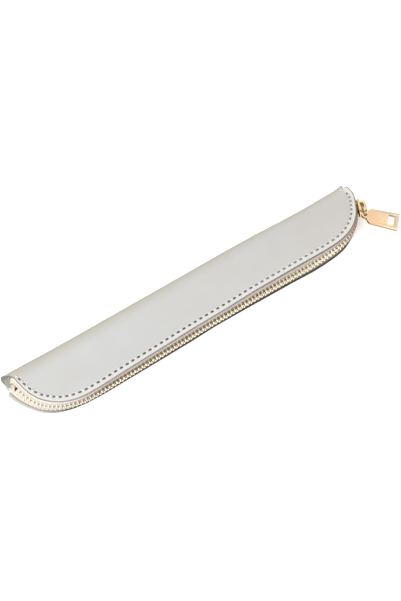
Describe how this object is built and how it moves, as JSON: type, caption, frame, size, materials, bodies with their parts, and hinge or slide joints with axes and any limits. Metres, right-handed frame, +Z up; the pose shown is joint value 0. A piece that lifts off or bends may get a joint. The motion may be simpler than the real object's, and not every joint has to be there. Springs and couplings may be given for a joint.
{
  "type": "pen case",
  "caption": "Slim folded leather pen case with rounded ends, closed round its open sides by a metal zip with a flat slotted pull.",
  "frame": {"origin": "middle of the underside of the back panel, on which the case lies", "axes": "+X along the case towards the closed end of the zip, +Y towards the fold, +Z up through the front panel"},
  "size_m": [0.2137, 0.0424, 0.01],
  "materials": {
    "leather": "smooth light warm grey leather with a soft sheen",
    "lining": "plain light woven lining",
    "zip_tape": "matt woven tape, light mauve grey",
    "thread": "light waxed thread",
    "zip_metal": "polished yellow metal",
    "pale_gold": "polished pale gold plating"
  },
  "bodies": {
    "back": {"back_panel": "leather", "back_lining": "lining", "back_zip_tape": "zip_tape", "back_teeth": "zip_metal", "back_stitching": "thread", "back_top_stop": "zip_metal", "bottom_stop": "zip_metal"},
    "front": {"front_panel": "leather", "front_lining": "lining", "front_zip_tape": "zip_tape", "front_teeth": "zip_metal", "front_stitching": "thread", "front_top_stop": "zip_metal"},
    "slider": {"slider_body": "pale_gold"},
    "link": {"pull_link": "pale_gold"},
    "pull": {"pull_plate": "pale_gold"}
  },
  "joints": [
    {"name": "cover_fold", "type": "hinge", "parent": "back", "child": "front", "pos_m": [0, 0.0175, 0.005], "axis": [-1, 0, 0], "range_deg": [0, 90], "deforming": ["front_teeth", "back_teeth"]},
    {"name": "slider_run", "type": "hinge", "parent": "back", "child": "slider", "pos_m": [0.0725, 0.01, 0.005], "axis": [0, 0, -1], "range_deg": [0, 56], "deforming": ["front_teeth", "back_teeth"]},
    {"name": "link_swing", "type": "hinge", "parent": "slider", "child": "link", "pos_m": [0.09898, -0.00403, 0.005], "axis": [0, 0, 1], "range_deg": [-6, 70]},
    {"name": "pull_swing", "type": "hinge", "parent": "link", "child": "pull", "pos_m": [0.097, -0.00948, 0.005], "axis": [0, 0, 1], "range_deg": [-40, 8]}
  ]
}
